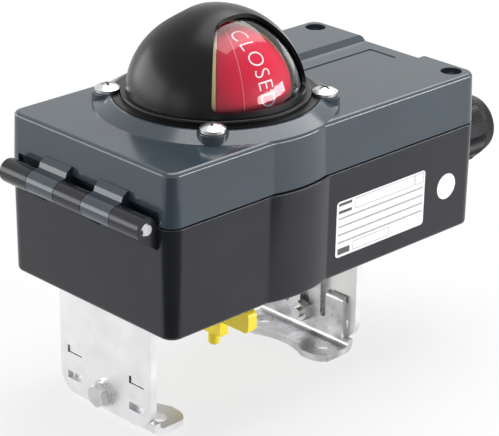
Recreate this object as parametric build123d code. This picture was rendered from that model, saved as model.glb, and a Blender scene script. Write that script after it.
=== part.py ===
from build123d import *
import math
import os

# Valve limit switch box. Millimetres, +Z up along the drive shaft.
# Origin: the shaft axis on the plane of the feet's undersides. +X points to the cable gland,
# the hinge is on the -X face.

over = 1.0                   # overrun of every cut
screw_free = 0.3             # space round a screw in its clearance hole
soft_fit = 0.02              # space round seals and gaskets

# --- actuator interface and brackets ---
foot_pitch_x = 80.0          # standard rotary actuator top pattern
foot_pitch_y = 30.0
foot_hole_d = 6.5
sheet_t = 2.5                # bracket sheet
bend_r = 1.6                 # inside bend radius of the sheet
base_z = 44.5                # underside of the box above the feet
plate_face_x = 50.3          # outer faces of the two hanging plates
plate_w = 46.0
plate_bottom_z = 3.4
plate_corner_r = 8.0
plate_flange_l = 22.0        # screwed under the box
slot_w = 7.3                 # windows in the plates for the foot tabs
slot_h = 2.8
slot_pitch_y = 31.5
slot_low_z = 9.8
slot_step_z = 9.7            # height adjustment between the two rows of windows
tab_side_gap = 0.6
tab_h = 2.3                  # height of a tab where it stands in its window
tab_sunk = 0.5               # how far a tab ends inside its window
tab_crest_r = 1.8
relief_w = 2.6               # cut between the leg's tongue and its tabs
relief_y = 9.2               # centre of that cut
relief_low_z = 10.3
tongue_corner_r = 3.0
tongue_top_z = 34.0
foot_ear_r = 8.5
foot_sag = 3.0               # hollow of the foot's free edge between its ears
foot_waist = 0.35            # share of an ear's radius that the hollow leaves
ear_trim = 1.5               # flat cut of each ear's outer side
heel_trim = 0.6
bolt_d = 4.0
bolt_af = 7.0
bolt_head_h = 2.8
bolt_past = 1.5              # bolt's end past its nut
bolt_turn = 12.0             # degrees its flats stand off level
nut_h = 3.2
washer_d = 9.5
spring_washer_d = 8.2
washer_t = 0.9
adjust_slot_w = 4.6
hex_chamfer = 0.35
hex_slope = 0.3
head_crown = 0.6             # shares of a pan head's height and radius
cross_lift = 0.95
cross_w = 0.22
plate_screw_d = 5.0
plate_screw_pitch_y = 24.0
plate_screw_head_d = 8.5
plate_screw_head_h = 2.7
plate_screw_inset = 10.3      # from the plate's outer face
plate_screw_reach = 3.0      # into the base above its floor
plate_screw_room = 0.5
plate_boss_r = 5.0
plate_boss_h = 5.0

# --- box ---
box_length = 146.0
box_width = 80.4
hinge_face_x = -57.1
base_h = 38.5
lid_h = 18.6
seam_gap = 0.35
corner_r = 5.0
bulge_out = 1.7              # round swell of both long sides, about the shaft
base_bulge_more = 0.6        # the base's swell stands out past the lid's
bulge_blend_r = 3.0
base_draft = 0.5             # degrees
lid_draft = 2.0
wall_t = 4.6
floor_t = 3.2
top_t = 4.4
edge_r = 1.4
seam_edge_r = 0.4
inner_corner_r = 0.8         # least corner radius inside
pillar_sink = 0.5            # pillars run this far into the wall
gasket_w = 1.6
gasket_inset = 1.1
gasket_h = 2.0
groove_gap = 0.1
gasket_proud = 0.1

# --- hinge ---
knuckle_r = 4.1
hinge_end_inset = 6.2        # barrel ends inside the box's sides
knuckle_gap = 0.25
hinge_out = 4.4              # pin axis outside the hinge face
hinge_up = 0.5               # pin axis above the seam
pin_r = 2.2
pin_run = 0.07
scoop_r = 6.5
scoop_end_gap = 0.6
base_arm_in = 2.6            # outer low corner of a base arm, from the pin axis
base_arm_low = 3.2
base_arm_foot = 9.0
arm_step = 0.2
arm_sink = 1.0
lid_arm_lip = 0.5            # profile of a lid arm, from the pin axis
lid_arm_crest_x = 1.6
lid_arm_crest_up = 0.4
lid_arm_rise_x = 2.2
lid_arm_rise_z = 6.2
lid_arm_top = 7.8
lid_arm_heel = 0.6
pin_proud = 0.4
pin_chamfer = 0.4

# --- lid screws ---
lid_screw_inset_x = 7.1
lid_screw_inset_y = 7.2
lid_screw_d = 4.0
lid_screw_head_d = 7.0
lid_screw_head_h = 2.6
lid_screw_bore = 0.6         # free space round the screw, which lets the lid swing past it
lid_screw_reach = 7.0        # how far it goes into the base
insert_wall = 0.9
insert_past = 2.0
cbore_depth = 5.2
pillar_d = 9.6

# --- dome seat and dome ---
plinth_inset = 0.9           # plinth's foot inside the swell
plinth_flank = 5.0
plinth_rim_r = 0.3
plinth_h = 3.0
seat_depth = 2.4
seat_rim = 1.0
seat_gap = 0.3
dome_flange_w = 4.3          # flange outside the dome
dome_wall = 1.3
dome_centre_up = 2.8         # sphere centre above the lid's top face
flange_t = 1.4
skirt_out = 1.6
skirt_edge_r = 0.6
skirt_h = 1.4
lens_gap = 0.3
lens_wall = 1.1
lens_flange_t = 1.2
lens_lap = 0.1
window_low = 3.8             # sill above the sphere centre
window_top = 8.3             # straight top edge, off the shaft axis
window_spread = 92.6         # degrees
window_corner_r = 9.0
sill_corner_r = 2.4
dome_screw_out = 1.6         # screw circle outside the flange's edge, which the heads clamp
dome_screw_d = 4.0
dome_screw_head_d = 8.7
dome_screw_head_h = 2.7
dome_screw_l = 8.0
head_turn = 20.0             # degrees, first screw's recess
head_turn_step = 65.0
dome_boss_r = 4.0
dome_boss_h = 5.0
lug_r = 5.2
dome_gasket_out = 2.0
dome_gasket_w = 2.0
dome_gasket_h = 1.2

# --- channel in the lid's rear top ---
channel_half_w = 15.8
channel_depth = 2.0
channel_slope = 1.9
panel_l = 38.0
panel_w = 13.0
panel_depth = 0.3
panel_corner_r = 1.0
panel_end_in = 24.9

# --- indicator ---
rotor_gap = 2.3
rotor_wall = 1.2
rotor_disc_t = 1.5
rotor_lift = 2.4
rotor_turn = 1.5             # degrees the dome stands past its mark
rotor_seam_turn = 0.6        # degrees left between two sectors
rotor_seam_r = 0.6
rotor_edge = 0.1
stem_r = 5.0
stem_run = 0.05
bush_wall = 2.2
bush_flange_r = 9.0
bush_flange_t = 1.0
bush_boss_wall = 2.5
bush_boss_h = 6.0
shoulder_gap = 0.1
dog_t = 3.0                  # tongue on the shaft that turns the indicator
dog_w = 7.0
dog_gap = 0.4
dog_depth = 3.0
dog_top_up = 3.6             # tongue tip above the seam

# --- drive shaft and coupling ---
shaft_r = 5.0
shaft_low_r = 4.0
shaft_run = 0.05
shaft_bush_r = 8.0
shaft_bush_h = 13.0
shaft_boss_r = 11.5
bush_foot_t = 1.2
bush_foot_r = 10.0
collar_r = 7.5
collar_h = 2.0
collar_gap = 0.2
seal_t = 1.6
cam_r = 16.0
cam_t = 4.0
cam_hub_wall = 3.5
cam_hub_h = 4.0
target_r = 3.0
target_inset = 5.0
target_proud = 0.8
hub_r = 6.5
coupling_top_gap = 0.4
coupling_t = 4.0
wing_span = 38.0
wing_bottom_z = 22.0
wing_top_z = 30.0
wing_corner_r = 2.0
coupling_floor = 4.0         # under the shaft's end
tongue_w = 10.0
tongue_bottom_z = 16.0
pin_bottom_z = 11.5
pin_tip_chamfer = 0.6
centre_pin_r = 2.2

# --- cable entry and plug ---
entry_y = 18.0
entry_below_seam = 12.7
entry_r = 10.0               # M20
thread_past = 3.0            # thread showing inside the wall
gland_hex_af = 24.0
gland_hex_t = 6.0
gland_turn = 30.0            # degrees
gland_neck_r = 9.0
gland_neck_l = 10.0
cable_r = 4.5
cap_r = 12.2
cap_end_r = 10.4
cap_l = 19.0
cap_run = 0.08
cap_rib = 0.45
cap_rib_out = 0.15
cap_rib_start = 1.0
cap_rib_count = 36
cap_straight = 0.62          # share of the cap before it narrows
cap_nose_r = 1.4
cap_nose_t = 3.5
cap_gap = 0.3
cap_flat_r = 13.6            # corner radius of its wrench hexagon
cap_flat_turn = 45.0         # degrees
cap_mouth = 1.6
neck_end_gap = 0.4
seal_r = 7.4
seal_start = 4.0
seal_past = 2.5
plug_head_r = 12.0
plug_head_t = 4.5
plug_edge_r = 1.2
plug_socket_r = 6.0
plug_socket_depth = 3.0

# --- inside the base ---
board_below_seam = 14.0
board_t = 1.6
board_l = 50.0
board_w = 42.0
board_end_gap = 8.3
board_side_gap = 4.6
board_corner_r = 2.0
board_hole_inset = 3.5
board_screw_d = 2.6
board_screw_l = 7.0
board_screw_room = 1.0
board_screw_head_d = 5.0
board_screw_head_h = 1.8
post_d = 6.5
terminal_l = 12.0
terminal_w = 32.0
terminal_h = 9.5
terminal_ways = 6
terminal_off = 8.0           # from the board's middle
terminal_step = 0.55         # share of its height at the wire side
terminal_top_share = 0.25
terminal_hole_r = 1.9
terminal_screw_r = 1.8
terminal_screw_in = 1.8
terminal_screw_low = 3.0
terminal_screw_sunk = 1.5
driver_slot_w = 0.6
driver_slot_depth = 0.6
wire_hole = 3.2
wire_hole_low = 1.0
wire_hole_in = 1.0
sensor_wall_gap = 3.3
sensor_w = 9.0
sensor_h = 8.0
sensor_gap = 1.0
sensor_edge_r = 1.0
sensor_rim = 1.2
sensor_face_t = 0.5
carrier_start = 5.0          # from the cam's edge
carrier_l = 12.0
carrier_t = 1.5
valve_end_in = 38.9
valve_wall_in = 10.0
valve_l = 30.0
valve_w = 16.0
valve_h = 18.0
valve_edge_r = 1.0
valve_screw_r = 1.6
valve_screw_first = 12.0
valve_screw_last = 4.0
valve_screw_l = 9.0
valve_screw_room = 1.0
valve_screw_head_r = 2.8
valve_screw_head_h = 2.0
coil_r = 7.4
coil_l = 15.0
coil_edge_r = 1.0
coil_foot_in = 3.0
coil_foot_half = 3.0
port_pitch = 15.0
port_r = 4.3
port_core_r = 1.6
port_core_in = 2.0
port_sunk = 0.4
port_insert_r = 6.0
button_r = 3.0
button_travel = 1.5
button_run = 0.06
button_h = 6.0
button_proud = 2.6
button_in = 6.0
button_room = 0.3
button_edge_r = 0.5
button_slot_w = 0.8

# --- places worked out from the sizes above ---
seam_z = base_z + base_h
lid_low_z = seam_z + seam_gap
lid_top_z = seam_z + lid_h
end_face_x = hinge_face_x + box_length
box_mid_x = hinge_face_x + box_length / 2
half_w = box_width / 2
bulge_r = half_w + bulge_out
knuckle_w = (box_width - 2 * hinge_end_inset - 4 * knuckle_gap) / 5
lid_screw_x = end_face_x - lid_screw_inset_x
lid_screw_y = half_w - lid_screw_inset_y
entry_z = seam_z - entry_below_seam
floor_z = base_z + floor_t
ceiling_z = lid_top_z - top_t
hinge_x = hinge_face_x - hinge_out
hinge_z = seam_z + hinge_up
leg_face_x = plate_face_x - sheet_t
leg_in_x = leg_face_x - sheet_t
slot_high_z = slot_low_z + slot_step_z
plinth_foot_r = bulge_r - plinth_inset
plinth_top_r = plinth_foot_r - plinth_flank
seat_r = plinth_top_r - seat_rim
plinth_top_z = lid_top_z + plinth_h
seat_z = plinth_top_z - seat_depth
flange_r = seat_r - seat_gap
dome_r = flange_r - dome_flange_w
skirt_r = dome_r + skirt_out
dome_screw_pcr = flange_r + dome_screw_out
dome_gasket_r = dome_r + dome_gasket_out
lens_flange_top_z = seat_z + lens_flange_t
flange_top_z = lens_flange_top_z + flange_t
dome_z = lid_top_z + dome_centre_up
lens_r = dome_r - dome_wall - lens_gap
rotor_r = lens_r - lens_wall - rotor_gap
rotor_disc_z = seat_z + rotor_lift
rotor_spread = 90 - rotor_seam_turn
dog_top_z = seam_z + dog_top_up
bush_top_z = base_z + shaft_bush_h
collar_z = bush_top_z + collar_gap
cam_z = collar_z + collar_h
coupling_top_z = base_z - bush_foot_t - coupling_top_gap
cap_x = end_face_x + gland_hex_t
thread_end_x = end_face_x - wall_t - thread_past
board_z = seam_z - board_below_seam
board_x = end_face_x - wall_t - board_end_gap - board_l / 2
board_y = board_w / 2 + board_side_gap - half_w + wall_t
terminal_x = board_x + terminal_off
sensor_l = bulge_r - wall_t - sensor_wall_gap - cam_r - sensor_gap
valve_x = end_face_x - valve_end_in
valve_y = half_w - wall_t - valve_wall_in
board_top_z = board_z + board_t
valve_top_z = floor_z + valve_h


def block(x0, x1, y0, y1, z0, z1):
    """Box between two corners."""
    centre = Pos((x0 + x1) / 2, (y0 + y1) / 2, (z0 + z1) / 2)
    return centre * Box(x1 - x0, y1 - y0, z1 - z0)


def rod(r, z0, z1, x=0.0, y=0.0):
    """Upright cylinder."""
    return Pos(x, y, (z0 + z1) / 2) * Cylinder(r, z1 - z0)


def rod_x(r, x0, x1, y, z):
    """Cylinder along X."""
    return Pos((x0 + x1) / 2, y, z) * Rot(0, 90, 0) * Cylinder(r, x1 - x0)


def rod_y(r, y0, y1, x, z):
    """Cylinder along Y."""
    return Pos(x, (y0 + y1) / 2, z) * Rot(90, 0, 0) * Cylinder(r, y1 - y0)


def tube(outer_r, inner_r, z0, z1, x=0.0, y=0.0):
    return rod(outer_r, z0, z1, x, y) - rod(inner_r, z0 - over, z1 + over, x, y)


def hexagon(across_flats, height):
    """Hexagonal prism from z = 0 up, with its corners turned down by a cone."""
    corner = across_flats / math.sqrt(3)
    prism = extrude(RegularPolygon(corner, 6), height)
    drop = corner * hex_slope
    crown = Cone(corner + height, corner - hex_chamfer, height + drop)
    return prism & Pos(0, 0, (height - drop) / 2) * crown


def pan_head(r, height):
    """Domed screw head from z = 0 up, with a cross recess."""
    rise = height * head_crown
    sphere_r = (r * r + rise * rise) / (2 * rise)
    head = Pos(0, 0, height / 2) * Cylinder(r, height)
    head = head & Pos(0, 0, height - sphere_r) * Sphere(sphere_r)
    slot = Box(r, r * cross_w, height)
    cross = Pos(0, 0, height * cross_lift) * (slot + Rot(0, 0, 90) * slot)
    return head - cross


def outline(inset, more=0.0):
    """Plan of the box, drawn in from its seam outline by inset; more widens the swell."""
    corner = max(corner_r - inset, inner_corner_r)
    plan = Pos(box_mid_x, 0) * RectangleRounded(box_length - 2 * inset, box_width - 2 * inset, corner)
    plan += Circle(bulge_r + more - inset)
    flat_end_x = box_length / 2 - corner_r
    inner = [v for v in plan.vertices() if abs(v.X - box_mid_x) < flat_end_x - corner_r]
    inner = [v for v in inner if abs(v.Y) < bulge_r + more - inset - bulge_out / 4]
    return fillet(inner, bulge_blend_r)


def shell_prism(inset, z0, z1):
    return extrude(Pos(0, 0, z0) * outline(inset), z1 - z0)


knuckle_pitch = knuckle_w + knuckle_gap
base_knuckle_y = [-2 * knuckle_pitch, 0.0, 2 * knuckle_pitch]
lid_knuckle_y = [-knuckle_pitch, knuckle_pitch]


def knuckle(y, bore_r, arm):
    """Hinge barrel at y with its arm, a profile in X and Z about the pin axis."""
    web = Plane.XZ * Polygon(*arm, align=None)
    web = Pos(hinge_x, y, hinge_z) * extrude(web, knuckle_w / 2, both=True)
    barrel = rod_y(knuckle_r, y - knuckle_w / 2, y + knuckle_w / 2, hinge_x, hinge_z)
    bore = rod_y(bore_r, y - knuckle_w, y + knuckle_w, hinge_x, hinge_z)
    return web + barrel - bore


# --- patterns ---
screw_signs = [(1, 1), (1, -1), (-1, 1), (-1, -1)]
lid_screw_spots = [(lid_screw_x, -lid_screw_y), (lid_screw_x, lid_screw_y)]
dome_screw_xy = dome_screw_pcr / math.sqrt(2)
dome_screw_spots = [(sx * dome_screw_xy, sy * dome_screw_xy) for sx, sy in screw_signs]
board_hole_dx = board_l / 2 - board_hole_inset
board_hole_dy = board_w / 2 - board_hole_inset
board_spots = [(board_x + sx * board_hole_dx, board_y + sy * board_hole_dy) for sx, sy in screw_signs]
plate_screw_x = plate_face_x - plate_screw_inset
plate_screw_spots = [(sx * plate_screw_x, sy * plate_screw_pitch_y / 2) for sx, sy in screw_signs]
port_spots = [valve_x + k * port_pitch - port_pitch / 2 for k in (0, 1)]
port_z = floor_z + valve_h / 2
insert_free_r = lid_screw_d / 2 + lid_screw_bore
insert_out_r = insert_free_r + insert_wall
insert_low_z = seam_z - lid_screw_reach - insert_past
valve_screw_xs = [valve_x - valve_l / 2 + valve_screw_first, valve_x + valve_l / 2 - valve_screw_last]


def base_housing():
    outer = extrude(Pos(0, 0, seam_z) * outline(0, base_bulge_more), -base_h, taper=base_draft)
    outer = fillet(outer.faces().sort_by(Axis.Z)[0].edges(), edge_r)
    outer = fillet(outer.faces().sort_by(Axis.Z)[-1].edges(), seam_edge_r)
    body = outer - shell_prism(wall_t, floor_z, seam_z + over)
    inside = shell_prism(wall_t - pillar_sink, floor_z - over, seam_z)
    pillars = Part()
    for x, y in lid_screw_spots:
        pillars += rod(pillar_d / 2, floor_z - over, seam_z, x, y)
    pillars += rod(shaft_boss_r, floor_z - over, bush_top_z)
    for x, y in board_spots:
        pillars += rod(post_d / 2, floor_z - over, board_z, x, y)
    for x, y in plate_screw_spots:
        pillars += rod(plate_boss_r, floor_z - over, floor_z + plate_boss_h, x, y)
    body += pillars & inside
    groove = shell_prism(gasket_inset - groove_gap, seam_z - gasket_h, seam_z + over)
    groove -= shell_prism(gasket_inset + gasket_w + groove_gap, seam_z - gasket_h - over, seam_z + 2 * over)
    body -= groove
    for x, y in lid_screw_spots:
        body -= rod(insert_out_r, insert_low_z, seam_z + over, x, y)
    for x, y in board_spots:
        body -= rod(board_screw_d / 2, board_z - board_screw_l - board_screw_room, board_z + over, x, y)
    for x, y in plate_screw_spots:
        body -= rod(plate_screw_d / 2, base_z - over, floor_z + plate_screw_reach + plate_screw_room, x, y)
    body -= rod(shaft_bush_r, base_z - over, bush_top_z + over)
    for y in (-entry_y, entry_y):
        body -= rod_x(entry_r, end_face_x - 2 * wall_t, end_face_x + over, y, entry_z)
    for x in port_spots:
        body -= rod_y(port_insert_r, half_w - 2 * wall_t, half_w + 2 * over, x, port_z)
    arm = [
        (-base_arm_in, -base_arm_low),
        (hinge_out + arm_sink, -base_arm_foot),
        (hinge_out + arm_sink, -hinge_up - arm_step),
        (0, -hinge_up - arm_step),
    ]
    for y in base_knuckle_y:
        body += knuckle(y, pin_r, arm)
    return body


def sensor(turn):
    """Proximity switch lying on its pedestal, its sensing face towards the cam."""
    near = cam_r + sensor_gap
    case = block(near, near + sensor_l, -sensor_w / 2, sensor_w / 2, cam_z - sensor_h / 2, cam_z + sensor_h / 2)
    case = fillet(case.edges().filter_by(Axis.X), sensor_edge_r)
    face = rod_x(sensor_h / 2 - sensor_rim, near - sensor_face_t, near + sensor_face_t, 0, cam_z)
    return Rot(0, 0, turn) * (case + face)


def sensor_carrier():
    """Bent bracket that holds both switches at cam height, on the floor of the base."""
    low = cam_z - sensor_h / 2
    bracket = Part()
    for turn in (180, 90):
        x0 = cam_r + carrier_start
        x1 = x0 + carrier_l
        leg = block(x0, x1, -sensor_w / 2, sensor_w / 2, floor_z, low)
        leg -= block(x0 + carrier_t, x1 - carrier_t, -sensor_w, sensor_w, floor_z - over, low - carrier_t)
        bracket += Rot(0, 0, turn) * leg
    return bracket


def lid_housing():
    outer = extrude(Pos(0, 0, lid_low_z) * outline(0), lid_top_z - lid_low_z, taper=lid_draft)
    outer = fillet(outer.faces().sort_by(Axis.Z)[-1].edges(), edge_r)
    outer = fillet(outer.faces().sort_by(Axis.Z)[0].edges(), seam_edge_r)
    trough = Polygon(
        (-channel_half_w - channel_slope, channel_depth),
        (-channel_half_w + channel_slope, -channel_depth),
        (channel_half_w - channel_slope, -channel_depth),
        (channel_half_w + channel_slope, channel_depth),
        align=None,
    )
    body = outer - Pos(box_mid_x, 0, lid_top_z) * extrude(Plane.YZ * trough, box_length)
    panel = RectangleRounded(panel_l, panel_w, panel_corner_r)
    body -= Pos(end_face_x - panel_end_in, 0, lid_top_z - channel_depth - panel_depth) * extrude(panel, over)
    body += rod(plinth_foot_r, ceiling_z, lid_top_z)
    plinth = Pos(0, 0, lid_top_z + plinth_h / 2) * Cone(plinth_foot_r, plinth_top_r, plinth_h)
    plinth = fillet(plinth.faces().sort_by(Axis.Z)[-1].edges(), plinth_rim_r)
    for x, y in dome_screw_spots:
        plinth += rod(lug_r, lid_top_z - over, plinth_top_z, x, y)
    body += plinth
    body -= rod(seat_r, seat_z, plinth_top_z + over)
    body -= shell_prism(wall_t, lid_low_z - over, ceiling_z)
    inside = shell_prism(wall_t - pillar_sink, lid_low_z, ceiling_z + over)
    pillars = Part()
    for x, y in lid_screw_spots:
        pillars += rod(pillar_d / 2, lid_low_z, ceiling_z + over, x, y)
    for x, y in dome_screw_spots:
        pillars += rod(dome_boss_r, ceiling_z - dome_boss_h, ceiling_z + over, x, y)
    pillars += rod(stem_r + bush_wall + bush_boss_wall, ceiling_z - bush_boss_h, ceiling_z + over)
    body += pillars & inside
    for x, y in lid_screw_spots:
        body -= rod(lid_screw_d / 2 + screw_free, lid_low_z - over, lid_top_z + over, x, y)
        body -= rod(lid_screw_head_d / 2 + screw_free, lid_top_z - cbore_depth, lid_top_z + over, x, y)
    for x, y in dome_screw_spots:
        body -= rod(dome_screw_d / 2, flange_top_z - dome_screw_l, plinth_top_z + over, x, y)
    body -= rod(stem_r + bush_wall, ceiling_z - bush_boss_h - over, seat_z + over)
    groove_r = dome_gasket_r + dome_gasket_w / 2
    body -= tube(groove_r, groove_r - dome_gasket_w, seat_z - dome_gasket_h, seat_z + over)
    for y in base_knuckle_y:
        y0 = y - knuckle_w / 2 - scoop_end_gap
        body -= rod_y(scoop_r, y0, y0 + knuckle_w + 2 * scoop_end_gap, hinge_x, hinge_z)
    arm = [
        (-lid_arm_lip, knuckle_r - arm_step),
        (lid_arm_crest_x, knuckle_r + lid_arm_crest_up),
        (lid_arm_rise_x, lid_arm_rise_z),
        (hinge_out, lid_arm_top),
        (hinge_out + arm_sink, lid_arm_top),
        (hinge_out + arm_sink, seam_gap - hinge_up),
        (knuckle_r - lid_arm_heel, seam_gap - hinge_up),
    ]
    for y in lid_knuckle_y:
        body += knuckle(y, pin_r + pin_run, arm)
    return body


def bowl(outer_r, wall, centre_z, low_z):
    """Spherical shell about the shaft axis, kept above low_z."""
    ball = Sphere(outer_r) - Sphere(outer_r - wall)
    ball = Pos(0, 0, centre_z) * ball
    return ball & rod(outer_r + over, low_z, centre_z + outer_r + over)


def sector(inner_r, outer_r, middle, spread):
    """Flat ring sector about the origin, middle and spread in degrees."""
    a = math.radians(middle - spread / 2)
    b = math.radians(middle + spread / 2)
    m = math.radians(middle)

    def at(r, t):
        return (r * math.cos(t), r * math.sin(t))

    rim = [
        Line(at(inner_r, a), at(outer_r, a)),
        ThreePointArc(at(outer_r, a), at(outer_r, m), at(outer_r, b)),
        Line(at(outer_r, b), at(inner_r, b)),
        ThreePointArc(at(inner_r, b), at(inner_r, m), at(inner_r, a)),
    ]
    return make_face(rim)


def dome_hood():
    """Round hood with two windows, straight at the top and rounded at their corners."""
    shell = bowl(dome_r, dome_wall, dome_z, flange_top_z)
    skirt = tube(skirt_r, dome_r - dome_wall, flange_top_z, flange_top_z + skirt_h)
    skirt = fillet(skirt.edges().sort_by(Axis.Z)[-2:].sort_by(SortBy.LENGTH)[-1], skirt_edge_r)
    for x, y in dome_screw_spots:
        skirt -= rod(dome_screw_head_d / 2 + screw_free, flange_top_z, flange_top_z + 2 * skirt_h, x, y)
    flange = tube(flange_r, dome_r - dome_wall, lens_flange_top_z, flange_top_z)
    hood = shell + skirt + flange
    far = dome_r + over
    widen = math.tan(math.radians(window_spread / 2))
    opening = Polygon(
        (-window_top * widen, window_top), (window_top * widen, window_top),
        (far * widen, far), (-far * widen, far), align=None,
    )
    opening = fillet(opening.vertices().sort_by(Axis.Y)[:2], window_corner_r)
    cutter = extrude(opening, dome_r)
    sill = cutter.faces().sort_by(Axis.Z)[0].edges().filter_by(GeomType.LINE)
    slanted = [e for e in sill if abs((e @ 1).Y - (e @ 0).Y) > over]
    cutter = Pos(0, 0, dome_z + window_low) * fillet(slanted, sill_corner_r)
    hood -= cutter
    hood -= Rot(0, 0, 180) * cutter
    for x, y in dome_screw_spots:
        hood -= rod(dome_screw_d / 2 + screw_free, lens_flange_top_z - over, flange_top_z + over, x, y)
    return hood


def dome_lens():
    lens = bowl(lens_r, lens_wall, dome_z, lens_flange_top_z)
    lens += tube(flange_r, lens_r - lens_wall - lens_lap, seat_z, lens_flange_top_z)
    for x, y in dome_screw_spots:
        lens -= rod(dome_screw_d / 2 + screw_free, seat_z - over, lens_flange_top_z + over, x, y)
    return lens


def dome_screws():
    group = []
    for x, y in dome_screw_spots:
        shank = rod(dome_screw_d / 2, flange_top_z - dome_screw_l, flange_top_z, x, y)
        turn = head_turn + head_turn_step * len(group)
        head = Pos(x, y, flange_top_z) * Rot(0, 0, turn) * pan_head(dome_screw_head_d / 2, dome_screw_head_h)
        group.append(shank + head)
    return Compound(children=group)


def rotor_sectors(first):
    """Two opposite quarters of the indicator dome."""
    low = rotor_disc_z + rotor_disc_t
    shell = bowl(rotor_r, rotor_wall, dome_z, low)
    group = []
    for middle in (first + rotor_turn, first + rotor_turn + 180):
        quarter = sector(rotor_seam_r, rotor_r + over, middle, rotor_spread)
        group.append(shell & Pos(0, 0, low - over) * extrude(quarter, dome_r + over))
    return Compound(children=group)


def rotor_hub():
    disc = rod(rotor_r - rotor_edge, rotor_disc_z, rotor_disc_z + rotor_disc_t)
    shoulder = rod(stem_r + bush_wall, seat_z + bush_flange_t + shoulder_gap, rotor_disc_z)
    stem_low_z = dog_top_z - dog_depth
    hub = disc + shoulder + rod(stem_r, stem_low_z, rotor_disc_z)
    slot_x = dog_t / 2 + dog_gap
    hub -= block(-slot_x, slot_x, -stem_r - over, stem_r + over, stem_low_z - over, dog_top_z + dog_gap)
    return hub


def stem_bush():
    bush = tube(stem_r + bush_wall, stem_r + stem_run, ceiling_z - bush_boss_h, seat_z)
    return bush + tube(bush_flange_r, stem_r + stem_run, seat_z, seat_z + bush_flange_t)


def lid_screw(x, y):
    head_z = lid_top_z - cbore_depth
    screw = rod(lid_screw_d / 2, seam_z - lid_screw_reach, head_z, x, y)
    return screw + Pos(x, y, head_z) * pan_head(lid_screw_head_d / 2, lid_screw_head_h)


def lid_screw_inserts():
    return Compound(children=[tube(insert_out_r, insert_free_r, insert_low_z, seam_z, x, y) for x, y in lid_screw_spots])


def drive_shaft():
    shaft = rod(shaft_low_r, wing_bottom_z + coupling_floor, coupling_top_z)
    shaft += rod(shaft_r, coupling_top_z, dog_top_z - dog_depth - dog_gap)
    shaft += rod(collar_r, collar_z, collar_z + collar_h)
    dog = block(-dog_t / 2, dog_t / 2, -dog_w / 2, dog_w / 2, dog_top_z - dog_depth - over, dog_top_z)
    return shaft + dog


def drive_coupling():
    half_t = coupling_t / 2
    hub = rod(hub_r, wing_bottom_z, coupling_top_z)
    wing = Plane.YZ * Pos(0, (wing_bottom_z + wing_top_z) / 2) * RectangleRounded(
        wing_span, wing_top_z - wing_bottom_z, wing_corner_r
    )
    part = hub + Pos(-half_t, 0, 0) * extrude(wing, coupling_t)
    part += block(-half_t, half_t, -tongue_w / 2, tongue_w / 2, tongue_bottom_z, wing_bottom_z + over)
    tip = rod(centre_pin_r, pin_bottom_z, tongue_bottom_z)
    part += chamfer(tip.edges().sort_by(Axis.Z)[0], pin_tip_chamfer)
    return part - rod(shaft_low_r, wing_bottom_z + coupling_floor, coupling_top_z + over)


def cam_disc():
    """Disc that carries the two steel targets past the switches."""
    cam = tube(cam_r, shaft_r, cam_z, cam_z + cam_t)
    cam += tube(shaft_r + cam_hub_wall, shaft_r, cam_z + cam_t, cam_z + cam_t + cam_hub_h)
    for turn in (45, 135, 225, 315):
        cam -= Rot(0, 0, turn) * rod(target_r, cam_z - over, cam_z + cam_t + over, cam_r - target_inset, 0)
    return cam


def cam_targets():
    target = rod(target_r, cam_z, cam_z + cam_t + target_proud, cam_r - target_inset, 0)
    return Compound(children=[Rot(0, 0, turn) * target for turn in (135, 225)])


def shaft_bush():
    bush = tube(shaft_bush_r, shaft_r + shaft_run, base_z, bush_top_z)
    bush += tube(bush_foot_r, shaft_r + shaft_run, base_z - bush_foot_t, base_z)
    return bush - tube(shaft_r + seal_t, shaft_r, bush_top_z - seal_t, bush_top_z + over)


def shaft_seal():
    return tube(shaft_r + seal_t - soft_fit, shaft_r + shaft_run, bush_top_z - seal_t, bush_top_z)


def gland_body():
    """Hexagon outside the wall, thread through it and neck for the cap nut."""
    hexa = Rot(0, 90, 0) * Rot(0, 0, gland_turn) * hexagon(gland_hex_af, gland_hex_t)
    body = Pos(end_face_x, -entry_y, entry_z) * hexa
    body += rod_x(entry_r, thread_end_x, end_face_x, -entry_y, entry_z)
    body += rod_x(gland_neck_r, cap_x, cap_x + gland_neck_l, -entry_y, entry_z)
    return body - rod_x(seal_r, thread_end_x - over, cap_x + gland_neck_l + over, -entry_y, entry_z)


def gland_cap_nut():
    """Ribbed cap nut with a rounded nose and wrench flats."""
    shoulder_x = cap_l * cap_straight
    profile = Polyline(
        (cap_gap, 0), (cap_gap, cap_r), (shoulder_x, cap_r), (cap_l, cap_end_r), (cap_l, 0), (cap_gap, 0)
    )
    solid = revolve(make_face(profile), Axis.X, 360)
    solid = fillet(solid.edges().filter_by(GeomType.CIRCLE).sort_by(Axis.X)[-1], cap_nose_r)
    groove = rod_x(cap_rib, cap_rib_start, cap_l + cap_rib_start, 0, cap_r + cap_rib_out)
    for k in range(cap_rib_count):
        if k % 6 < 4:
            solid -= Rot(k * 360 / cap_rib_count + 90, 0, 0) * groove
    flats = Rot(0, 90, 0) * extrude(RegularPolygon(cap_flat_r, 6), cap_l + over)
    solid = solid & Rot(cap_flat_turn, 0, 0) * flats
    solid -= rod_x(gland_neck_r + cap_run, -over, gland_neck_l + neck_end_gap, 0, 0)
    solid -= rod_x(seal_r + neck_end_gap, 0, cap_l - cap_nose_t, 0, 0)
    solid -= rod_x(cable_r + cap_mouth, 0, cap_l + over, 0, 0)
    return Pos(cap_x, -entry_y, entry_z) * solid


def gland_seal():
    x0 = cap_x - seal_start
    x1 = cap_x + gland_neck_l + seal_past
    ring = rod_x(seal_r - soft_fit, x0, x1, -entry_y, entry_z)
    return ring - rod_x(cable_r, x0 - over, x1 + over, -entry_y, entry_z)


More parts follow.
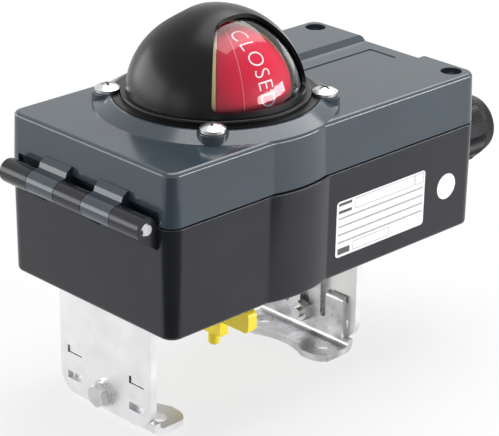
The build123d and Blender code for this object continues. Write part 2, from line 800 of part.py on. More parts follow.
def blanking_plug():
    plug = rod_x(plug_head_r, end_face_x, end_face_x + plug_head_t, entry_y, entry_z)
    outer = plug.edges().filter_by(GeomType.CIRCLE).sort_by(Axis.X)[-1]
    plug = fillet(outer, plug_edge_r)
    plug += rod_x(entry_r, thread_end_x, end_face_x, entry_y, entry_z)
    socket = Rot(0, 90, 0) * extrude(RegularPolygon(plug_socket_r, 6), plug_socket_depth + over)
    return plug - Pos(end_face_x + plug_head_t - plug_socket_depth, entry_y, entry_z) * socket


def circuit_board():
    board = block(board_x - board_l / 2, board_x + board_l / 2, board_y - board_w / 2, board_y + board_w / 2,
                  board_z, board_top_z)
    board = fillet(board.edges().filter_by(Axis.Z), board_corner_r)
    for x, y in board_spots:
        board -= rod(board_screw_d / 2, board_z - over, board_top_z + over, x, y)
    return board


def board_screws():
    group = []
    for x, y in board_spots:
        head = Pos(x, y, board_top_z) * pan_head(board_screw_head_d / 2, board_screw_head_h)
        group.append(head + rod(board_screw_d / 2, board_z - board_screw_l, board_top_z, x, y))
    return Compound(children=group)


terminal_pitch = terminal_w / terminal_ways
terminal_ys = [board_y + (k - (terminal_ways - 1) / 2) * terminal_pitch for k in range(terminal_ways)]


def terminal_block():
    profile = Polygon(
        (-terminal_l / 2, 0),
        (terminal_l / 2, 0),
        (terminal_l / 2, terminal_h * terminal_step),
        (terminal_l * terminal_top_share, terminal_h),
        (-terminal_l / 2, terminal_h),
        align=None,
    )
    strip = extrude(Plane.XZ * profile, terminal_w / 2, both=True)
    strip = Pos(terminal_x, board_y, board_top_z) * strip
    screw_x = terminal_x - terminal_screw_in
    low = board_top_z + wire_hole_low
    for y in terminal_ys:
        strip -= rod(terminal_hole_r, board_top_z + terminal_screw_low, board_top_z + 2 * terminal_h, screw_x, y)
        strip -= block(terminal_x + wire_hole_in, terminal_x + terminal_l,
                       y - wire_hole / 2, y + wire_hole / 2, low, low + wire_hole)
    return strip


def terminal_screws():
    group = []
    screw_x = terminal_x - terminal_screw_in
    top = board_top_z + terminal_h - terminal_screw_sunk
    for y in terminal_ys:
        screw = rod(terminal_screw_r, board_top_z + terminal_screw_low, top, screw_x, y)
        slot = block(screw_x - terminal_l / 2, screw_x + terminal_l / 2,
                     y - driver_slot_w / 2, y + driver_slot_w / 2, top - driver_slot_depth, top + over)
        group.append(screw - slot)
    return Compound(children=group)


def pilot_valve_body():
    x0 = valve_x - valve_l / 2
    body = block(x0, x0 + valve_l, valve_y - valve_w / 2, half_w - wall_t, floor_z, valve_top_z)
    body = fillet(body.edges().filter_by(Axis.Z), valve_edge_r)
    body -= rod(button_r + button_run, valve_top_z - button_h, valve_top_z + over, x0 + button_in, valve_y)
    for x in port_spots:
        body -= rod_y(port_core_r, valve_y - port_core_in, half_w, x, port_z)
    for x in valve_screw_xs:
        body -= rod(valve_screw_r, valve_top_z - valve_screw_l - valve_screw_room, valve_top_z + over, x, valve_y)
    return body


def solenoid_coil():
    x1 = valve_x - valve_l / 2
    coil = rod_x(coil_r, x1 - coil_l, x1, valve_y, port_z)
    coil = fillet(coil.edges().filter_by(GeomType.CIRCLE).sort_by(Axis.X)[0], coil_edge_r)
    foot = block(x1 - coil_l + coil_foot_in, x1 - coil_foot_in,
                 valve_y - coil_foot_half, valve_y + coil_foot_half, floor_z, port_z)
    return coil + foot


def valve_screws():
    group = []
    for x in valve_screw_xs:
        head = Pos(x, valve_y, valve_top_z) * pan_head(valve_screw_head_r, valve_screw_head_h)
        group.append(head + rod(valve_screw_r, valve_top_z - valve_screw_l, valve_top_z, x, valve_y))
    return Compound(children=group)


def manual_override():
    x = valve_x - valve_l / 2 + button_in
    low = valve_top_z - button_h + button_travel + button_room
    top = valve_top_z + button_proud
    button = rod(button_r, low, top, x, valve_y)
    button = fillet(button.edges().sort_by(Axis.Z)[-1], button_edge_r)
    slot = block(x - button_r, x + button_r, valve_y - button_slot_w / 2, valve_y + button_slot_w / 2,
                 top - driver_slot_depth, top + over)
    return button - slot


def port_inserts():
    group = []
    for x in port_spots:
        sleeve = rod_y(port_insert_r, half_w - wall_t, half_w - port_sunk, x, port_z)
        group.append(sleeve - rod_y(port_r, half_w - wall_t - over, half_w + over, x, port_z))
    return Compound(children=group)


def bracket_plate(side):
    """Hanging plate: flange under the box, outside bend and two rows of windows."""
    outer_r = bend_r + sheet_t
    end_x = plate_face_x - plate_flange_l
    bend_x = plate_face_x - outer_r
    bend_z = base_z - outer_r
    profile = [
        Line((end_x, base_z), (bend_x, base_z)),
        RadiusArc((bend_x, base_z), (plate_face_x, bend_z), outer_r),
        Line((plate_face_x, bend_z), (plate_face_x, plate_bottom_z)),
        Line((plate_face_x, plate_bottom_z), (leg_face_x, plate_bottom_z)),
        Line((leg_face_x, plate_bottom_z), (leg_face_x, bend_z)),
        RadiusArc((leg_face_x, bend_z), (bend_x, base_z - sheet_t), -bend_r),
        Line((bend_x, base_z - sheet_t), (end_x, base_z - sheet_t)),
        Line((end_x, base_z - sheet_t), (end_x, base_z)),
    ]
    strip = extrude(Plane.XZ * make_face(profile), plate_w / 2, both=True)
    low = strip.edges().filter_by(Axis.X).group_by(Axis.Z)[0]
    strip = fillet(low, plate_corner_r)
    for y in (-slot_pitch_y / 2, slot_pitch_y / 2):
        for z in (slot_low_z, slot_high_z):
            strip -= block(leg_in_x, plate_face_x + over, y - slot_w / 2, y + slot_w / 2, z - slot_h / 2, z + slot_h / 2)
    strip -= rod_x(bolt_d / 2 + screw_free, leg_in_x, plate_face_x + over, 0, slot_low_z)
    for y in (-plate_screw_pitch_y / 2, plate_screw_pitch_y / 2):
        strip -= rod(plate_screw_d / 2 + screw_free, base_z - sheet_t - over, base_z + over, plate_screw_x, y)
    return strip if side > 0 else mirror(strip, Plane.YZ)


def foot_bracket(side):
    """Foot with two ears, a leg bolted inside the plate and tabs hooked into its windows."""
    ear_y = foot_pitch_y / 2
    hole_x = foot_pitch_x / 2
    half_wide = ear_y + foot_ear_r - ear_trim
    flange = Pos((hole_x + leg_face_x) / 2, 0) * Rectangle(leg_face_x - hole_x, 2 * half_wide)
    for y in (-ear_y, ear_y):
        flange += Pos(hole_x, y) * Circle(foot_ear_r)
    flange += Pos(hole_x - foot_ear_r / 2, 0) * Rectangle(foot_ear_r, 2 * ear_y)
    span = ear_y - foot_ear_r * foot_waist
    hollow_r = (span * span + foot_sag * foot_sag) / (2 * foot_sag)
    flange -= Pos(hole_x - foot_ear_r + foot_sag - hollow_r, 0) * Circle(hollow_r)
    flange &= Pos(leg_face_x / 2, 0) * Rectangle(leg_face_x, 2 * half_wide)
    foot = extrude(flange, sheet_t)
    tab_top = slot_high_z + tab_h / 2
    tab_in = slot_pitch_y / 2 - slot_w / 2 + tab_side_gap
    tab_out = slot_pitch_y / 2 + slot_w / 2 - tab_side_gap
    tongue_half = relief_y - relief_w / 2
    leg_shape = Pos(0, tab_top / 2) * Rectangle(2 * tab_out, tab_top)
    leg_shape += Pos(0, tongue_top_z / 2) * Rectangle(2 * tongue_half, tongue_top_z)
    leg_shape += Pos(0, sheet_t) * Rectangle(2 * half_wide, 2 * sheet_t)
    relief_h = tongue_top_z - relief_low_z
    for y in (-relief_y, relief_y):
        leg_shape -= Pos(y, relief_low_z + relief_h) * SlotOverall(2 * relief_h, relief_w, rotation=90)
    tongue_ends = [v for v in leg_shape.vertices() if v.Y > tongue_top_z - relief_w / 2]
    leg_shape = fillet(tongue_ends, tongue_corner_r)
    leg = Pos(leg_in_x, 0, 0) * extrude(Plane.YZ * leg_shape, sheet_t)
    body = foot + leg
    inner_edge = body.edges().filter_by(Axis.Y).sort_by_distance((leg_in_x, 0, sheet_t))[0]
    body = fillet(inner_edge, bend_r)
    heel = body.edges().filter_by(Axis.Y).sort_by_distance((leg_face_x, 0, 0))[0]
    body = fillet(heel, bend_r + sheet_t - heel_trim)
    for y0, y1 in ((-tab_out, -tab_in), (tab_in, tab_out)):
        body += block(leg_in_x, plate_face_x - tab_sunk, y0, y1, tab_top - tab_h, tab_top)
        top_edge = body.edges().filter_by(Axis.Y).sort_by_distance((leg_in_x, (y0 + y1) / 2, tab_top))[0]
        body = fillet(top_edge, tab_crest_r)
    adjust = SlotOverall(slot_step_z + adjust_slot_w, adjust_slot_w, rotation=90)
    adjust_z = slot_low_z + slot_step_z / 2
    body -= Pos(leg_in_x - over, 0, adjust_z) * extrude(Plane.YZ * adjust, sheet_t + 2 * over)
    for y in (-ear_y, ear_y):
        body -= rod(foot_hole_d / 2, -over, sheet_t + over, hole_x, y)
    return body if side > 0 else mirror(body, Plane.YZ)


def hex_along_x(across_flats, height, x, z, direction):
    quarter = 90 if direction > 0 else -90
    return Pos(x, 0, z) * Rot(0, quarter, 0) * Rot(0, 0, bolt_turn) * hexagon(across_flats, height)


def bracket_bolts():
    group = []
    head_x = plate_face_x + 2 * washer_t
    tip_x = leg_in_x - nut_h - bolt_past
    for s in (-1, 1):
        head = hex_along_x(bolt_af, bolt_head_h, s * head_x, slot_low_z, s)
        group.append(head + rod_x(bolt_d / 2, *sorted((s * tip_x, s * head_x)), 0, slot_low_z))
    return Compound(children=group)


def bracket_washers():
    """A plain and a spring washer under each bolt head."""
    group = []
    for s in (-1, 1):
        for k, d in ((0, washer_d), (1, spring_washer_d)):
            x0, x1 = sorted((s * (plate_face_x + k * washer_t), s * (plate_face_x + (k + 1) * washer_t)))
            ring = rod_x(d / 2, x0, x1, 0, slot_low_z)
            group.append(ring - rod_x(bolt_d / 2, x0 - over, x1 + over, 0, slot_low_z))
    return Compound(children=group)


def bracket_nuts():
    group = []
    for s in (-1, 1):
        nut = hex_along_x(bolt_af, nut_h, s * leg_in_x, slot_low_z, -s)
        group.append(nut - rod_x(bolt_d / 2, -plate_face_x, plate_face_x, 0, slot_low_z))
    return Compound(children=group)


def plate_screws():
    group = []
    low = base_z - sheet_t
    for x, y in plate_screw_spots:
        head = Pos(x, y, low) * Rot(180, 0, 0) * pan_head(plate_screw_head_d / 2, plate_screw_head_h)
        group.append(head + rod(plate_screw_d / 2, low, floor_z + plate_screw_reach, x, y))
    return Compound(children=group)


def lid_gasket():
    ring = shell_prism(gasket_inset, seam_z - gasket_h, seam_z + gasket_proud)
    return ring - shell_prism(gasket_inset + gasket_w, seam_z - gasket_h - over, seam_z + over)


def hinge_pin():
    half = half_w - hinge_end_inset + pin_proud
    pin = rod_y(pin_r, -half, half, hinge_x, hinge_z)
    return chamfer(pin.edges().filter_by(GeomType.CIRCLE), pin_chamfer)


def dome_gasket():
    half = dome_gasket_w / 2 - soft_fit
    return tube(dome_gasket_r + half, dome_gasket_r - half, seat_z - dome_gasket_h, seat_z - soft_fit)


parts = {
    "base_housing": base_housing(),
    "lid_gasket": lid_gasket(),
    "hinge_pin": hinge_pin(),
    "lid_screw_inserts": lid_screw_inserts(),
    "shaft_bush": shaft_bush(),
    "shaft_seal": shaft_seal(),
    "gland_body": gland_body(),
    "gland_seal": gland_seal(),
    "gland_cap_nut": gland_cap_nut(),
    "blanking_plug": blanking_plug(),
    "circuit_board": circuit_board(),
    "board_screws": board_screws(),
    "terminal_block": terminal_block(),
    "terminal_screws": terminal_screws(),
    "sensor_closed": sensor(180),
    "sensor_open": sensor(90),
    "sensor_carrier": sensor_carrier(),
    "pilot_valve_body": pilot_valve_body(),
    "solenoid_coil": solenoid_coil(),
    "valve_screws": valve_screws(),
    "manual_override": manual_override(),
    "port_inserts": port_inserts(),
    "bracket_plate_front": bracket_plate(-1),
    "bracket_plate_rear": bracket_plate(1),
    "foot_bracket_front": foot_bracket(-1),
    "foot_bracket_rear": foot_bracket(1),
    "bracket_bolts": bracket_bolts(),
    "bracket_washers": bracket_washers(),
    "bracket_nuts": bracket_nuts(),
    "plate_screws": plate_screws(),
    "lid_housing": lid_housing(),
    "dome_hood": dome_hood(),
    "dome_lens": dome_lens(),
    "dome_gasket": dome_gasket(),
    "dome_screws": dome_screws(),
    "stem_bush": stem_bush(),
    "rotor_red": rotor_sectors(-90),
    "rotor_yellow": rotor_sectors(0),
    "rotor_hub": rotor_hub(),
    "lid_screw_near": lid_screw(*lid_screw_spots[0]),
    "lid_screw_far": lid_screw(*lid_screw_spots[1]),
    "drive_shaft": drive_shaft(),
    "drive_coupling": drive_coupling(),
    "cam_disc": cam_disc(),
    "cam_targets": cam_targets(),
}

os.makedirs("parts", exist_ok=True)
for name, shape in parts.items():
    export_step(shape, f"parts/{name}.step")
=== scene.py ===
import math
import bmesh
import bpy
from mathutils import Matrix, Vector


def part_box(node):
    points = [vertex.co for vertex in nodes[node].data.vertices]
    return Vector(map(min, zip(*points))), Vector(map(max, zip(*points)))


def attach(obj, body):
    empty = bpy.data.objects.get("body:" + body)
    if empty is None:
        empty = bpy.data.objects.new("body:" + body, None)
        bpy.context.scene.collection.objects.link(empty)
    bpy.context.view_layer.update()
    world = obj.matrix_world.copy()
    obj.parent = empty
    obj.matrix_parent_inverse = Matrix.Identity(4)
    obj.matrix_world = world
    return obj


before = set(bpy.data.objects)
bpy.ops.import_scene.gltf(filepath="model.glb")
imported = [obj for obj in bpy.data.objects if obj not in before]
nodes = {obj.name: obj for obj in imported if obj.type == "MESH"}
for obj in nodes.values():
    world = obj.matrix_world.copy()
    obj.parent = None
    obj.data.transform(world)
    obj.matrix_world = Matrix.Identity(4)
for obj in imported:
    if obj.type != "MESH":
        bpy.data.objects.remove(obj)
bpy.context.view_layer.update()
mm = 0.001


# helpers for node trees
def startMaterial(name):
    material = bpy.data.materials.new(name)
    material.use_nodes = True
    tree = material.node_tree
    tree.nodes.clear()
    return material, tree


def addNode(tree, kind, settings=None, inputs=None):
    node = tree.nodes.new(kind)
    for key, value in (settings or {}).items():
        setattr(node, key, value)
    for key, value in (inputs or {}).items():
        node.inputs[key].default_value = value
    return node


def wire(tree, fromNode, fromSocket, toNode, toSocket):
    tree.links.new(fromNode.outputs[fromSocket], toNode.inputs[toSocket])


def noiseNode(tree, scale, detail, stretch=(1, 1, 1), shift=(0, 0, 0)):
    place = addNode(tree, "ShaderNodeTexCoord")
    mapping = addNode(tree, "ShaderNodeMapping", None, {"Scale": stretch, "Location": shift})
    noise = addNode(tree, "ShaderNodeTexNoise", None, {"Scale": scale, "Detail": detail})
    wire(tree, place, "Object", mapping, "Vector")
    wire(tree, mapping, "Vector", noise, "Vector")
    return noise


def spread(tree, source, socket, low, high, outLow, outHigh):
    ranger = addNode(tree, "ShaderNodeMapRange", None, {
        "From Min": low, "From Max": high, "To Min": outLow, "To Max": outHigh})
    wire(tree, source, socket, ranger, "Value")
    return ranger


def blendTone(tree, factor, factorSocket, first, second):
    mixer = addNode(tree, "ShaderNodeMix", {"data_type": "RGBA"})
    wire(tree, factor, factorSocket, mixer, 0)
    for slotIndex, tone in ((6, first), (7, second)):
        if isinstance(tone, tuple):
            mixer.inputs[slotIndex].default_value = (*tone, 1)
        else:
            tree.links.new(tone.outputs[2], mixer.inputs[slotIndex])
    return mixer


wearEdge = 0.05     # how fast a worn spot fades at its edge


# surface with uneven tone, roughness, fine bump and worn spots
def finishMaterial(name, look):
    material, tree = startMaterial(name)
    output = addNode(tree, "ShaderNodeOutputMaterial")
    shader = addNode(tree, "ShaderNodeBsdfPrincipled")
    stretch = look.get("stretch", (1, 1, 1))
    cloud = noiseNode(tree, look["cloudScale"], 3, stretch)
    share = spread(tree, cloud, "Fac", 0.35, 0.65, 0, 1)
    tone = blendTone(tree, share, "Result", look["tone"], look["toneAlt"])
    if "wearTone" in look:
        scuff = noiseNode(tree, look["wearScale"], 8, stretch, (3.1, 1.7, 0.4))
        worn = spread(tree, scuff, "Fac", look["wearFrom"], look["wearFrom"] + wearEdge, 0, look["wearShare"])
        tone = blendTone(tree, worn, "Result", tone, look["wearTone"])
    wire(tree, tone, 2, shader, "Base Color")
    patch = noiseNode(tree, look["roughScale"], 4, stretch, (0.7, 2.3, 5.1))
    rough = spread(tree, patch, "Fac", 0.3, 0.7, look["roughLow"], look["roughHigh"])
    wire(tree, rough, "Result", shader, "Roughness")
    normal = None
    for scale, depth in look["bumps"]:
        grain = noiseNode(tree, scale, 2, stretch, (1.9, 0.3, 2.2))
        bump = addNode(tree, "ShaderNodeBump", None, {"Strength": 1.0, "Distance": depth * mm})
        wire(tree, grain, "Fac", bump, "Height")
        if normal:
            wire(tree, normal, "Normal", bump, "Normal")
        normal = bump
    wire(tree, normal, "Normal", shader, "Normal")
    for socket, value in look.get("sockets", {}).items():
        shader.inputs[socket].default_value = value
    wire(tree, shader, "BSDF", output, "Surface")
    return material


lidLook = {
    "tone": (0.044, 0.061, 0.075), "toneAlt": (0.049, 0.067, 0.082), "cloudScale": 60,
    "wearTone": (0.15, 0.18, 0.21), "wearScale": 900, "wearFrom": 0.69, "wearShare": 0.22,
    "roughScale": 90, "roughLow": 0.12, "roughHigh": 0.19,
    "bumps": [(1500, 0.002), (320, 0.004)],
    "sockets": {"Specular IOR Level": 0.5},
}
baseLook = {
    "tone": (0.016, 0.017, 0.021), "toneAlt": (0.019, 0.020, 0.025), "cloudScale": 50,
    "wearTone": (0.08, 0.08, 0.09), "wearScale": 800, "wearFrom": 0.69, "wearShare": 0.22,
    "roughScale": 80, "roughLow": 0.17, "roughHigh": 0.24,
    "bumps": [(1500, 0.002), (300, 0.004)],
    "sockets": {"Specular IOR Level": 0.34},
}
hoodLook = {
    "tone": (0.0022, 0.0022, 0.0028), "toneAlt": (0.003, 0.003, 0.0038), "cloudScale": 70,
    "wearTone": (0.02, 0.02, 0.022), "wearScale": 1200, "wearFrom": 0.72, "wearShare": 0.2,
    "roughScale": 70, "roughLow": 0.26, "roughHigh": 0.32,
    "bumps": [(900, 0.001), (120, 0.002)],
    "sockets": {"Specular IOR Level": 0.2},
}
blackMattLook = {
    "tone": (0.008, 0.008, 0.010), "toneAlt": (0.012, 0.012, 0.014), "cloudScale": 90,
    "wearTone": (0.05, 0.05, 0.05), "wearScale": 900, "wearFrom": 0.66, "wearShare": 0.3,
    "roughScale": 120, "roughLow": 0.34, "roughHigh": 0.44,
    "bumps": [(1500, 0.003), (300, 0.004)],
    "sockets": {"Specular IOR Level": 0.07},
}
ribLook = {
    "tone": (0.006, 0.006, 0.008), "toneAlt": (0.009, 0.009, 0.011), "cloudScale": 90,
    "roughScale": 120, "roughLow": 0.26, "roughHigh": 0.36,
    "bumps": [(1500, 0.002), (300, 0.003)],
    "sockets": {"Specular IOR Level": 0.12},
}
stainlessLook = {
    "tone": (0.72, 0.72, 0.73), "toneAlt": (0.78, 0.78, 0.79), "cloudScale": 45,
    "wearTone": (0.66, 0.66, 0.67), "wearScale": 420, "wearFrom": 0.64, "wearShare": 0.3,
    "roughScale": 160, "roughLow": 0.32, "roughHigh": 0.46,
    "bumps": [(600, 0.003), (160, 0.010)],
    "sockets": {"Metallic": 1.0},
}
# rear foot bracket: the same stainless as the front foot, painted darker as painted shade, with darker worn
# spots
shadedStainlessLook = {
    "tone": (0.44, 0.44, 0.45), "toneAlt": (0.66, 0.66, 0.67), "cloudScale": 110,
    "wearTone": (0.30, 0.30, 0.30), "wearScale": 520, "wearFrom": 0.60, "wearShare": 0.5,
    "roughScale": 240, "roughLow": 0.24, "roughHigh": 0.46,
    "bumps": [(900, 0.010), (160, 0.030)],
    "sockets": {"Metallic": 1.0},
}
steelLook = {
    "tone": (0.56, 0.56, 0.56), "toneAlt": (0.64, 0.64, 0.64), "cloudScale": 200,
    "wearTone": (0.48, 0.47, 0.46), "wearScale": 900, "wearFrom": 0.64, "wearShare": 0.3,
    "roughScale": 400, "roughLow": 0.24, "roughHigh": 0.34,
    "bumps": [(1500, 0.003), (400, 0.005)],
    "sockets": {"Metallic": 1.0},
}
redLook = {
    "tone": (0.64, 0.0008, 0.034), "toneAlt": (0.70, 0.0012, 0.040), "cloudScale": 80,
    "roughScale": 90, "roughLow": 0.34, "roughHigh": 0.44,
    "bumps": [(900, 0.001), (150, 0.002)],
    "sockets": {"Specular IOR Level": 0.12},
}
yellowLook = {
    "tone": (0.98, 0.78, 0.035), "toneAlt": (1.0, 0.82, 0.05), "cloudScale": 90,
    "wearTone": (0.80, 0.56, 0.03), "wearScale": 700, "wearFrom": 0.70, "wearShare": 0.2,
    "roughScale": 150, "roughLow": 0.34, "roughHigh": 0.44,
    "bumps": [(1300, 0.004), (250, 0.006)],
}
creamLook = {
    "tone": (0.92, 0.75, 0.31), "toneAlt": (0.95, 0.80, 0.37), "cloudScale": 90,
    "roughScale": 150, "roughLow": 0.36, "roughHigh": 0.48,
    "bumps": [(1300, 0.003), (250, 0.004)],
}
greyLook = {
    "tone": (0.22, 0.23, 0.24), "toneAlt": (0.28, 0.29, 0.30), "cloudScale": 120,
    "wearTone": (0.36, 0.36, 0.36), "wearScale": 900, "wearFrom": 0.67, "wearShare": 0.3,
    "roughScale": 150, "roughLow": 0.40, "roughHigh": 0.52,
    "bumps": [(1400, 0.008), (300, 0.008)],
}
boardLook = {
    "tone": (0.012, 0.12, 0.045), "toneAlt": (0.018, 0.16, 0.06), "cloudScale": 400,
    "wearTone": (0.03, 0.24, 0.10), "wearScale": 1500, "wearFrom": 0.56, "wearShare": 0.5,
    "roughScale": 200, "roughLow": 0.25, "roughHigh": 0.38, "stretch": (1, 0.25, 1),
    "bumps": [(900, 0.01), (250, 0.006)],
}
rubberLook = {
    "tone": (0.010, 0.010, 0.010), "toneAlt": (0.016, 0.016, 0.016), "cloudScale": 160,
    "roughScale": 250, "roughLow": 0.60, "roughHigh": 0.78,
    "bumps": [(1600, 0.02), (400, 0.02)],
}
brassLook = {
    "tone": (0.60, 0.42, 0.16), "toneAlt": (0.70, 0.50, 0.21), "cloudScale": 200,
    "wearTone": (0.38, 0.26, 0.10), "wearScale": 700, "wearFrom": 0.62, "wearShare": 0.4,
    "roughScale": 300, "roughLow": 0.22, "roughHigh": 0.36,
    "bumps": [(1500, 0.006), (300, 0.006)],
    "sockets": {"Metallic": 1.0},
}
anodisedLook = {
    "tone": (0.30, 0.31, 0.33), "toneAlt": (0.36, 0.37, 0.39), "cloudScale": 150,
    "wearTone": (0.55, 0.55, 0.56), "wearScale": 900, "wearFrom": 0.68, "wearShare": 0.3,
    "roughScale": 260, "roughLow": 0.34, "roughHigh": 0.46,
    "bumps": [(1500, 0.008), (300, 0.006)],
    "sockets": {"Metallic": 0.8},
}
paperLook = {
    "tone": (0.87, 0.87, 0.88), "toneAlt": (0.91, 0.91, 0.92), "cloudScale": 120,
    "roughScale": 200, "roughLow": 0.38, "roughHigh": 0.50,
    "bumps": [(1500, 0.003), (200, 0.004)],
}
inkLook = {
    "tone": (0.05, 0.05, 0.055), "toneAlt": (0.08, 0.08, 0.085), "cloudScale": 600,
    "roughScale": 400, "roughLow": 0.40, "roughHigh": 0.55,
    "bumps": [(1500, 0.002), (400, 0.002)],
}
greyInkLook = {
    "tone": (0.34, 0.34, 0.35), "toneAlt": (0.42, 0.42, 0.43), "cloudScale": 600,
    "roughScale": 400, "roughLow": 0.40, "roughHigh": 0.55,
    "bumps": [(1500, 0.002), (400, 0.002)],
}
letterLook = {
    "tone": (0.82, 0.80, 0.81), "toneAlt": (0.88, 0.86, 0.87), "cloudScale": 400,
    "roughScale": 300, "roughLow": 0.38, "roughHigh": 0.48,
    "bumps": [(1500, 0.002), (400, 0.002)],
}
seamLook = {
    "tone": (0.74, 0.16, 0.22), "toneAlt": (0.80, 0.22, 0.28), "cloudScale": 300,
    "roughScale": 300, "roughLow": 0.30, "roughHigh": 0.42,
    "bumps": [(1500, 0.001), (400, 0.001)],
}
clearLook = {
    "tint": (0.975, 0.975, 0.98, 1), "index": 1.40,
    "roughScale": 60, "roughLow": 0.03, "roughHigh": 0.06,
    "rippleScale": 45, "ripple": 0.012,
}


# thin clear cover: straight light with a glossy skin, and no gloss from inside its wall
def clearMaterial(name, look):
    material, tree = startMaterial(name)
    output = addNode(tree, "ShaderNodeOutputMaterial")
    through = addNode(tree, "ShaderNodeBsdfTransparent", None, {"Color": look["tint"]})
    skin = addNode(tree, "ShaderNodeBsdfGlossy", None, {"Color": (1, 1, 1, 1)})
    patch = noiseNode(tree, look["roughScale"], 3)
    rough = spread(tree, patch, "Fac", 0.3, 0.7, look["roughLow"], look["roughHigh"])
    wire(tree, rough, "Result", skin, "Roughness")
    ripple = noiseNode(tree, look["rippleScale"], 1, (1, 1, 1), (0.2, 0.6, 1.4))
    bump = addNode(tree, "ShaderNodeBump", None, {"Strength": 1.0, "Distance": look["ripple"] * mm})
    wire(tree, ripple, "Fac", bump, "Height")
    wire(tree, bump, "Normal", skin, "Normal")
    gloss = addNode(tree, "ShaderNodeFresnel", None, {"IOR": look["index"]})
    shape = addNode(tree, "ShaderNodeNewGeometry")
    front = addNode(tree, "ShaderNodeMath", {"operation": "SUBTRACT"}, {0: 1.0})
    share = addNode(tree, "ShaderNodeMath", {"operation": "MULTIPLY"})
    wire(tree, shape, "Backfacing", front, 1)
    wire(tree, gloss, "Fac", share, 0)
    wire(tree, front, "Value", share, 1)
    mixer = addNode(tree, "ShaderNodeMixShader")
    wire(tree, share, "Value", mixer, 0)
    wire(tree, through, "BSDF", mixer, 1)
    wire(tree, skin, "BSDF", mixer, 2)
    wire(tree, mixer, "Shader", output, "Surface")
    return material


materials = {
    "lidCoating": finishMaterial("lidCoating", lidLook),
    "baseCoating": finishMaterial("baseCoating", baseLook),
    "hoodPlastic": finishMaterial("hoodPlastic", hoodLook),
    "blackMatt": finishMaterial("blackMatt", blackMattLook),
    "ribPlastic": finishMaterial("ribPlastic", ribLook),
    "stainless": finishMaterial("stainless", stainlessLook),
    "shadedStainless": finishMaterial("shadedStainless", shadedStainlessLook),
    "steel": finishMaterial("steel", steelLook),
    "redPlastic": finishMaterial("redPlastic", redLook),
    "yellowPlastic": finishMaterial("yellowPlastic", yellowLook),
    "creamPlastic": finishMaterial("creamPlastic", creamLook),
    "greyPlastic": finishMaterial("greyPlastic", greyLook),
    "board": finishMaterial("board", boardLook),
    "rubber": finishMaterial("rubber", rubberLook),
    "brass": finishMaterial("brass", brassLook),
    "anodised": finishMaterial("anodised", anodisedLook),
    "paper": finishMaterial("paper", paperLook),
    "ink": finishMaterial("ink", inkLook),
    "greyInk": finishMaterial("greyInk", greyInkLook),
    "letter": finishMaterial("letter", letterLook),
    "seamLine": finishMaterial("seamLine", seamLook),
    "clear": clearMaterial("clear", clearLook),
}
print("materials", len(materials))

nodeMaterials = {
    "base_housing": "baseCoating", "lid_gasket": "rubber", "hinge_pin": "steel",
    "lid_screw_inserts": "brass", "shaft_bush": "brass", "shaft_seal": "rubber",
    "gland_body": "blackMatt", "gland_seal": "rubber", "gland_cap_nut": "blackMatt",
    "blanking_plug": "blackMatt", "circuit_board": "board", "board_screws": "steel",
    "terminal_block": "greyPlastic", "terminal_screws": "brass",
    "sensor_closed": "greyPlastic", "sensor_open": "greyPlastic", "sensor_carrier": "stainless",
    "pilot_valve_body": "anodised", "solenoid_coil": "blackMatt", "valve_screws": "steel",
    "manual_override": "yellowPlastic", "port_inserts": "brass",
    "bracket_plate_front": "stainless", "bracket_plate_rear": "stainless",
    # the rear foot takes the darker stainless, which is painted shade
    "foot_bracket_front": "stainless", "foot_bracket_rear": "shadedStainless",
    "bracket_bolts": "steel", "bracket_washers": "steel", "bracket_nuts": "steel",
    "plate_screws": "steel", "lid_housing": "lidCoating", "dome_hood": "hoodPlastic",
    "dome_lens": "clear", "dome_gasket": "rubber", "dome_screws": "steel",
    "stem_bush": "brass", "rotor_red": "redPlastic", "rotor_yellow": "creamPlastic",
    "rotor_hub": "blackMatt", "lid_screw_near": "steel", "lid_screw_far": "steel",
    "drive_shaft": "steel", "drive_coupling": "yellowPlastic", "cam_disc": "greyPlastic",
    "cam_targets": "steel",
}
for nodeName, obj in nodes.items():
    obj.data.materials.clear()
    obj.data.materials.append(materials[nodeMaterials[nodeName]])
print("carried-over nodes", len(nodes))


# helpers for pieces
def pieceFromMesh(name, build, material, body):
    mesh = bpy.data.meshes.new(name)
    shape = bmesh.new()
    build(shape)
    bmesh.ops.recalc_face_normals(shape, faces=shape.faces)
    shape.to_mesh(mesh)
    shape.free()
    obj = bpy.data.objects.new(name, mesh)
    bpy.context.scene.collection.objects.link(obj)
    mesh.materials.append(materials[material])
    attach(obj, body)
    return obj


def roundedOutline(width, height, radius, steps):
    points = []
    corners = ((1, 1, 0), (-1, 1, 90), (-1, -1, 180), (1, -1, 270))
    for sx, sy, start in corners:
        for k in range(steps + 1):
            angle = math.radians(start + 90 * k / steps)
            points.append((sx * (width / 2 - radius) + radius * math.cos(angle),
                           sy * (height / 2 - radius) + radius * math.sin(angle)))
    return points


def circleOutline(radius, corners):
    return [(radius * math.cos(2 * math.pi * k / corners), radius * math.sin(2 * math.pi * k / corners))
            for k in range(corners)]


# flat plate of an outline; place turns plan points and a height into a position
def raisePlate(shape, outline, place, thickness):
    low = [shape.verts.new(place(u, v, 0)) for u, v in outline]
    high = [shape.verts.new(place(u, v, thickness)) for u, v in outline]
    shape.faces.new(low[::-1])
    shape.faces.new(high)
    count = len(outline)
    for k in range(count):
        shape.faces.new((low[k], low[(k + 1) % count], high[(k + 1) % count], high[k]))


